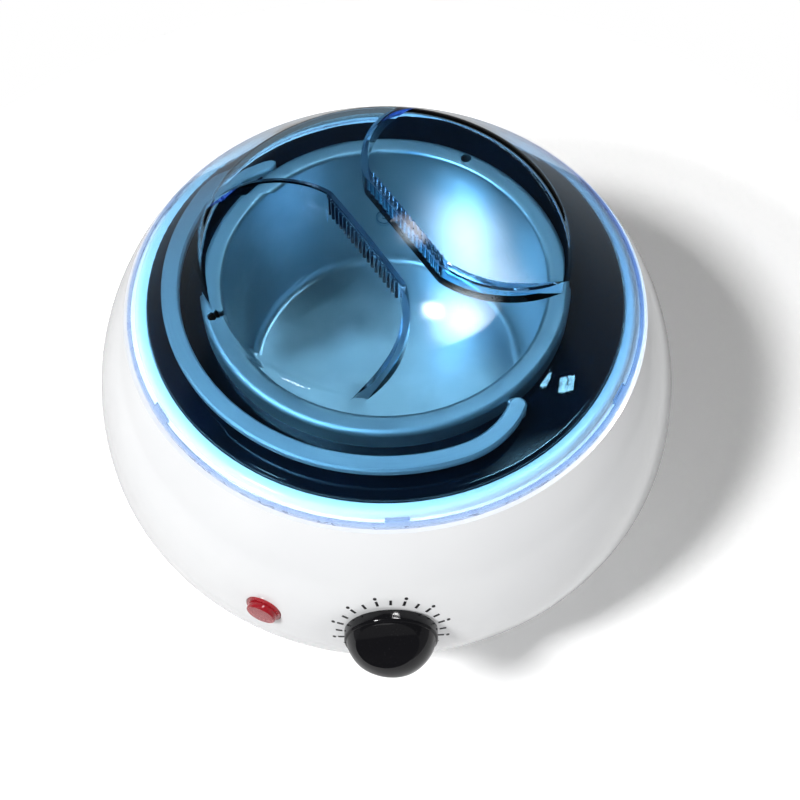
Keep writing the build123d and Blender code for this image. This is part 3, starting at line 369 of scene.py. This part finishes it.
finishes = {
    "housing_white": glossy_white(),
    "deck_black": glossy_black(),
    "lid_blue": clear_blue(),
    "pot_aluminium": spun_aluminium(),
    "bail_metal": satin_metal("satin bail metal", (0.47, 0.52, 0.57), 0.42, 0.85),
    "knob_black": knob_black(),
    "dial_ink": printed_ink(),
    "lamp_red": clear_red(),
    "steel": plated_metal("zinc plated steel", (0.62, 0.63, 0.66)),
    "aluminium": satin_metal("mill aluminium", (0.77, 0.78, 0.8), 0.32),
    "copper": plated_metal("drawn copper", (0.8, 0.42, 0.26)),
    "contacts": plated_metal("plated brass", (0.83, 0.66, 0.36)),
    "fibre_white": woven_fibre(),
    "black_moulding": moulded("textured black moulding", (0.018, 0.018, 0.02)),
    "white_moulding": moulded("satin white moulding", (0.78, 0.78, 0.75), 0.35),
    "base_grey": moulded("textured base moulding", (0.66, 0.67, 0.69), 0.5, 900.0, 0.08 * mm),
    "rubber_black": moulded("foot rubber", (0.022, 0.022, 0.022), 0.75, 700.0, 0.1 * mm),
    "lead_brown": moulded("brown sleeve", (0.16, 0.06, 0.025), 0.4),
    "lead_white": moulded("white sleeve", (0.8, 0.79, 0.75), 0.4),
    "lead_green": moulded("green sleeve", (0.12, 0.34, 0.05), 0.4),
}

slot_of = {entry["node"]: entry["material_slot"] for entry in record["subparts"]}

for name, node in frame["nodes"].items():
    node.data.materials.clear()
    node.data.materials.append(finishes[slot_of[name]])


# Pieces that are smoothed copies of their solids


def body_of(node_name):
    return next(body for body, nodes in record["behaviour"]["bodies"].items() if node_name in nodes)


def seat_piece(piece, node_name):
    """Hands a finished piece over in place of its CAD node."""
    bpy.context.scene.collection.objects.link(piece)
    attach(piece, body_of(node_name))
    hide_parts(node_name)


def merged(node_name):
    """Copy of a CAD node's mesh with its doubled corners joined."""
    mesh = frame["nodes"][node_name].data.copy()
    mesh.name = node_name + "_smooth"
    shading = mesh.attributes.get("custom_normal")
    if shading:
        mesh.attributes.remove(shading)
    work = bmesh.new()
    work.from_mesh(mesh)
    bmesh.ops.remove_doubles(work, verts=work.verts, dist=weld_gap)
    work.to_mesh(mesh)
    work.free()
    return mesh


def dressed(node_name, sharp_angle=28.0):
    """Smooth-shaded copy of a CAD node that takes its place."""
    mesh = merged(node_name)
    mesh.polygons.foreach_set("use_smooth", [True] * len(mesh.polygons))
    mesh.set_sharp_from_angle(angle=radians(sharp_angle))
    seat_piece(bpy.data.objects.new(mesh.name, mesh), node_name)


for name in ("housing_shell", "deck_ring", "pot", "bail", "knob", "lamp_lens", "base_pan", "rubber_feet"):
    dressed(name)

# The lid's skirt meets its crown over a shallow bend that has to stay crisp
dressed("lid", sharp_angle=22.0)


# Dial marks, which repeat round the knob and follow the housing


class Form(Nodes):
    """A Geometry Nodes tree with named inputs, which ends in a plain mesh with its material."""

    def __init__(self, name):
        tree = bpy.data.node_groups.new(name, "GeometryNodeTree")
        super().__init__(tree)
        self.values = {}
        tree.interface.new_socket("Geometry", in_out="INPUT", socket_type="NodeSocketGeometry")
        tree.interface.new_socket("Geometry", in_out="OUTPUT", socket_type="NodeSocketGeometry")

    def take(self, **inputs):
        """Named inputs as (socket type, value); returns their links."""
        for key, (kind, value) in inputs.items():
            made = self.tree.interface.new_socket(key.replace("_", " "), in_out="INPUT", socket_type=kind)
            self.values[made.identifier] = value
        outputs = self.node("NodeGroupInput")
        return [outputs[key.replace("_", " ")] for key in inputs]

    def scaled(self, vector, factor):
        """A vector times a number."""
        return self.vector("SCALE", vector, Scale=factor)[0]

    def joined(self, *parts):
        """Parts put together in one geometry."""
        made = self.tree.nodes.new("GeometryNodeJoinGeometry")
        for part in parts:
            self.tree.links.new(part.output, made.inputs[0])
        return Link(self, made.outputs[0])

    def make(self, name, geometry, material):
        """Plain mesh of the finished form."""
        real = self.node("GeometryNodeRealizeInstances", None, geometry)["Geometry"]
        finished = self.node("GeometryNodeSetMaterial", None, Geometry=real, Material=material)["Geometry"]
        output = self.tree.nodes.new("NodeGroupOutput")
        self.tree.links.new(finished.output, output.inputs[0])
        carrier = bpy.data.objects.new(name, bpy.data.meshes.new(name))
        bpy.context.scene.collection.objects.link(carrier)
        modifier = carrier.modifiers.new(name, "NODES")
        modifier.node_group = self.tree
        for identifier, value in self.values.items():
            modifier[identifier] = value
        bpy.context.view_layer.update()
        seen = carrier.evaluated_get(bpy.context.evaluated_depsgraph_get())
        mesh = bpy.data.meshes.new_from_object(seen)
        bpy.data.objects.remove(carrier)
        return mesh


def make_dial_marks():
    form = Form("dial marks")
    joint = joints["knob_turn"]
    axis = Vector(joint["axis"]).normalized() * -1.0
    centre = Vector(joint["pos_m"])
    tip = atan2(-axis.z, -axis.y)
    count, step, circle, size, dots, dot, place, turn, outward, housing = form.take(
        Mark_Count=("NodeSocketInt", mark_count),
        Step_Angle=("NodeSocketFloat", mark_step),
        Tick_Circle=("NodeSocketFloat", tick_circle),
        Tick_Size=("NodeSocketVector", tick_size),
        Dot_Circle=("NodeSocketFloat", dot_circle),
        Dot_Radius=("NodeSocketFloat", dot_radius),
        Centre=("NodeSocketVector", tuple(centre)),
        Tilt=("NodeSocketVector", (pi / 2 + tip, 0.0, 0.0)),
        Outward=("NodeSocketVector", tuple(axis)),
        Housing=("NodeSocketObject", frame["nodes"]["housing_shell"]),
    )
    index = form.node("GeometryNodeInputIndex")["Index"]
    angle = (index - (count - 1.0) / 2.0) * step + pi / 2
    across = angle.math("COSINE", angle)
    up = angle.math("SINE", angle)
    turned = form.node("ShaderNodeCombineXYZ", None, 0.0, 0.0, angle)["Vector"]

    def placed(radius):
        point = form.node("ShaderNodeCombineXYZ", None, across * radius, up * radius, 0.0)["Vector"]
        return form.node("GeometryNodePoints", None, Count=count, Position=point)[0]

    def repeated(mark, radius, **sockets):
        """The mark at each point of a circle, or at the points that are selected."""
        sockets.update(Points=placed(radius), Instance=mark)
        return form.node("GeometryNodeInstanceOnPoints", None, **sockets)["Instances"]

    bar = form.node("GeometryNodeMeshCube", None, size, 8, 3, 2)["Mesh"]
    disc = form.node("GeometryNodeMeshCylinder", None, Vertices=20, Radius=dot, Depth=tick_size[2])["Mesh"]
    every_second = 1.0 - index.math("MODULO", index, 2.0)
    flat = form.joined(repeated(bar, circle, Rotation=turned), repeated(disc, dots, Selection=every_second))
    real = form.node("GeometryNodeRealizeInstances", None, flat)["Geometry"]
    sockets = {"Geometry": real, "Translation": place, "Rotation": turn}
    stood = form.node("GeometryNodeTransform", None, **sockets)["Geometry"]
    # Each corner drops along the dial's axis onto the housing and keeps its height above it
    spot = form.node("GeometryNodeInputPosition")["Position"]
    height = form.vector("DOT_PRODUCT", form.vector("SUBTRACT", spot, place)[0], outward)["Value"]
    lifted = form.vector("ADD", spot, form.scaled(outward, drop_height))[0]
    inward = form.scaled(outward, -1.0)
    target = form.node("GeometryNodeObjectInfo", None, housing)["Geometry"]
    hit = form.node(
        "GeometryNodeRaycast", None, Target_Geometry=target, Source_Position=lifted, Ray_Direction=inward
    )["Hit Position"]
    landed = form.vector("ADD", hit, form.scaled(outward, height))[0]
    draped = form.node("GeometryNodeSetPosition", None, Geometry=stood, Position=landed)["Geometry"]
    return form.make("dial_marks_printed", draped, finishes["dial_ink"])


seat_piece(bpy.data.objects.new("dial_marks_printed", make_dial_marks()), "dial_marks")


# Stage, lamps and camera


def panel(name, size, place, aim, power):
    """Soft rectangular lamp."""
    light = bpy.data.lights.new(name, "AREA")
    light.shape = "RECTANGLE"
    light.size, light.size_y = size
    light.energy = power
    lamp = bpy.data.objects.new(name, light)
    lamp.location = place
    lamp.rotation_euler = (Vector(aim) - Vector(place)).to_track_quat("-Z", "Y").to_euler()
    bpy.context.scene.collection.objects.link(lamp)
    return lamp


def seen_rays(f):
    """1 for what the camera sees, straight or through the lid; 0 for light on the object."""
    path = f.node("ShaderNodeLightPath")
    straight = path["Is Camera Ray"]
    return straight.math("MAXIMUM", straight, path["Is Transmission Ray"])


def floor_finish():
    f = Finish("white table")
    grain = f.noise(3.0)
    x, y, z = f.parts()
    # Painted light: to what the camera sees, the table glows weakly in a round patch about the cast shadow
    # and strongly beyond it, so the patch is painted darker
    apart = ((x - shadow_middle[0]) ** 2.0 + (y - shadow_middle[1]) ** 2.0) ** 0.5
    away = f.mix(apart.smooth(*shadow_reach), (0.05, 0.05, 0.05), (0.4, 0.4, 0.4))
    glow = f.mix(seen_rays(f), (0.0, 0.0, 0.0), away)
    colour = f.mix(grain, (0.95, 0.95, 0.95), (0.97, 0.97, 0.97))
    # Painted reflection: what mirrors the table sees it darker than it is
    mirrored = f.node("ShaderNodeLightPath")["Is Glossy Ray"]
    shade = f.mix(mirrored, colour, (0.62, 0.62, 0.62))
    return f.surface(Base_Color=shade, Roughness=0.7, Emission_Color=glow, Emission_Strength=1.0)


def build_table():
    """Round table top under the object; beyond it the room is plain white to the camera."""
    work = bmesh.new()
    bmesh.ops.create_circle(work, cap_ends=True, segments=128, radius=table_radius)
    mesh = bpy.data.meshes.new("table_top")
    work.to_mesh(mesh)
    work.free()
    mesh.materials.append(floor_finish())
    top = bpy.data.objects.new("table_top", mesh)
    bpy.context.scene.collection.objects.link(top)


def build_world():
    """White to the camera, dim with soft windows to what mirrors, plain and even on paint."""
    world = bpy.data.worlds.new("studio")
    bpy.context.scene.world = world
    world.use_nodes = True
    f = Nodes(world.node_tree)
    f.tree.nodes.clear()
    direction = f.node("ShaderNodeTexCoord")["Generated"]
    apart = f.node("ShaderNodeSeparateXYZ", None, direction)
    height = apart[2]
    ceiling = height.smooth(0.12, 0.2)
    across = apart[0] / height.math("MAXIMUM", height, 0.05)
    along = apart[1] / height.math("MAXIMUM", height, 0.05)

    def window(left, right, near, far, soft, level):
        """Soft-edged window in the ceiling; its sides are slopes from the object."""
        width = across.smooth(left - soft, left + soft) * (1.0 - across.smooth(right - soft, right + soft))
        depth = along.smooth(near - soft, near + soft) * (1.0 - along.smooth(far - soft, far + soft))
        return width * depth * ceiling * level

    room = 0.22 - ceiling * 0.16
    # Wide windows whose light the pot's floor and the lid's crown and right recess throw back
    windows = window(left=0.07, right=0.13, near=0.72, far=0.85, soft=0.05, level=42.0)
    windows = windows + window(left=0.17, right=0.31, near=0.29, far=0.45, soft=0.08, level=95.0)
    # Small soft window near the bail's tip, and a far one with four panes, which the deck mirrors
    windows = windows + window(left=0.12, right=0.16, near=0.38, far=0.42, soft=0.025, level=280.0)
    for left in pane_lefts:
        for near in pane_nears:
            right, far = left + pane_width, near + pane_depth
            windows = windows + window(left, right, near, far, soft=0.001, level=220.0)
    path = f.node("ShaderNodeLightPath")
    bounces = path["Ray Depth"] - path["Transmission Depth"]
    straight = 1.0 - bounces.math("GREATER_THAN", bounces, 1.5)
    painted = path["Is Diffuse Ray"]
    level = straight + (1.0 - straight) * (painted * 0.165 + (1.0 - painted) * (room + windows))
    sky = f.node("ShaderNodeBackground", None, Color=(1.0, 1.0, 1.0, 1.0), Strength=level)["Background"]
    f.node("ShaderNodeOutputWorld", None, sky)


def build_lamps():
    """Key from the front left, and a weak fill from the right that no surface mirrors."""
    panel("key", size=(0.46, 0.46), place=(-1.5, -0.97, 2.3), aim=middle, power=78.0)
    fill = panel("side fill", size=(0.8, 0.6), place=(1.3, -0.9, 0.5), aim=middle, power=8.0)
    fill.visible_glossy = False
    fill.visible_transmission = False


def build_camera():
    """Camera at the photograph's place: 63 mm lens, from the front and well above."""
    look = Vector(camera_look).normalized().to_track_quat("-Z", "Y").to_matrix().to_4x4()
    roll = Matrix.Rotation(camera_roll, 4, "Z")
    camera = bpy.data.objects.new("camera", bpy.data.cameras.new("camera"))
    camera.data.lens = camera_lens
    camera.data.sensor_width = sensor_width
    camera.data.clip_start = 10.0 * mm
    camera.matrix_world = Matrix.Translation(Vector(camera_place)) @ look @ roll
    bpy.context.scene.collection.objects.link(camera)
    bpy.context.scene.camera = camera


build_table()
build_world()
build_lamps()
build_camera()
bpy.context.scene.view_settings.view_transform = "Standard"
